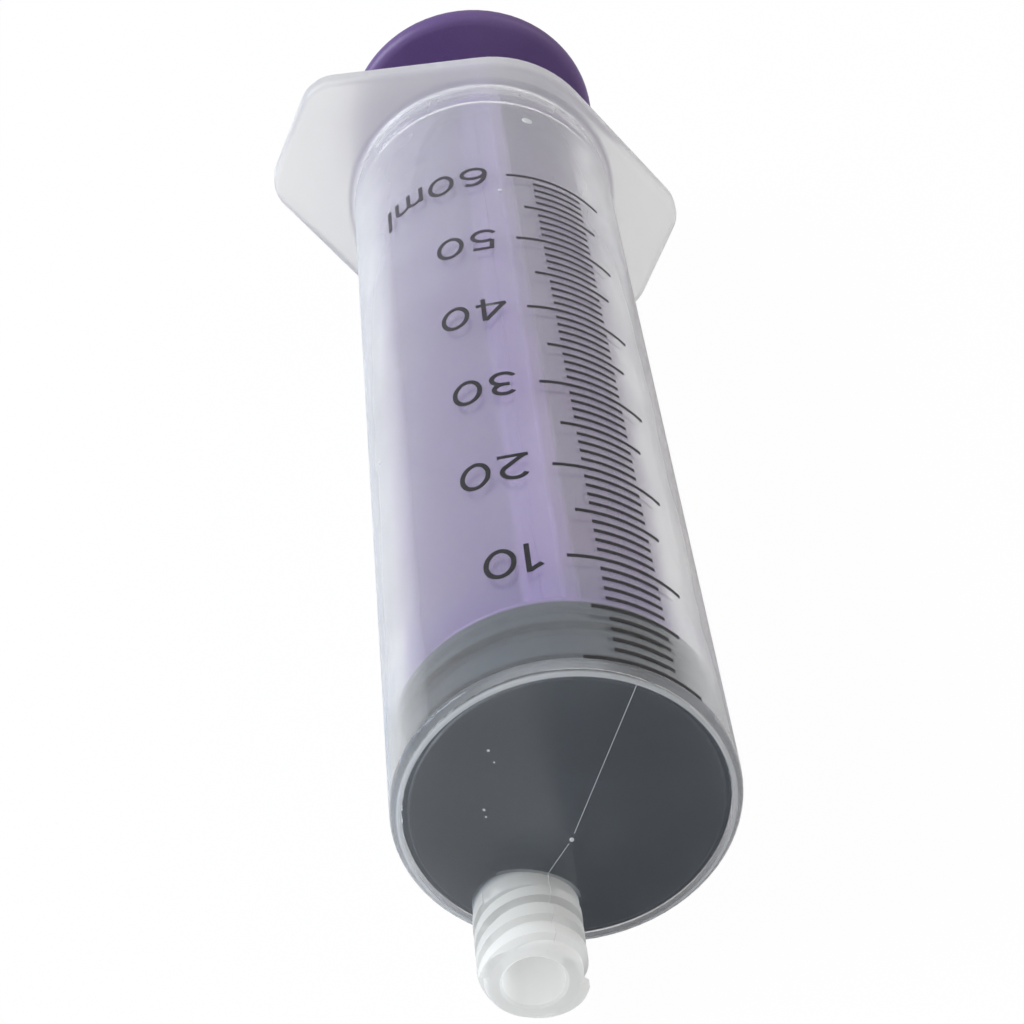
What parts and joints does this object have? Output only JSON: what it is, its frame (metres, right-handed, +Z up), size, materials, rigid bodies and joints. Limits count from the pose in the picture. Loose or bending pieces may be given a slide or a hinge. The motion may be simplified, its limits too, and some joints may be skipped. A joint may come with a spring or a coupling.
{
  "type": "enteral syringe",
  "caption": "Large enteral syringe with an off-centre threaded tip, a finger flange, a rubber stopper and a purple plunger rod, lying with the plunger pushed in.",
  "frame": {"origin": "on the table, under the middle of the lying syringe's box", "axes": "+Z up, +Y along the syringe from its tip to its thumb disc, +X to the right when looking from the tip"},
  "size_m": [0.0488, 0.156, 0.0358],
  "materials": {
    "frosted_barrel": "clear to milky polypropylene, satin",
    "scale_ink": "matt black print",
    "stopper_rubber": "smooth dark slate rubber",
    "purple_rod": "satin moulded purple"
  },
  "bodies": {
    "barrel": {"barrel": "frosted_barrel", "scale_print": "scale_ink"},
    "stopper": {"stopper": "stopper_rubber"},
    "plunger_rod": {"plunger_rod": "purple_rod"}
  },
  "joints": [
    {"name": "plunger_slide", "type": "slide", "parent": "barrel", "child": "stopper", "axis": [0, 0.9998, 0.0177], "range_m": [0, 0.104]},
    {"name": "rod_turn", "type": "hinge", "parent": "stopper", "child": "plunger_rod", "pos_m": [0.00053, -0.05942, 0.01561], "axis": [0, 0.9998, 0.0177], "continuous": true}
  ]
}
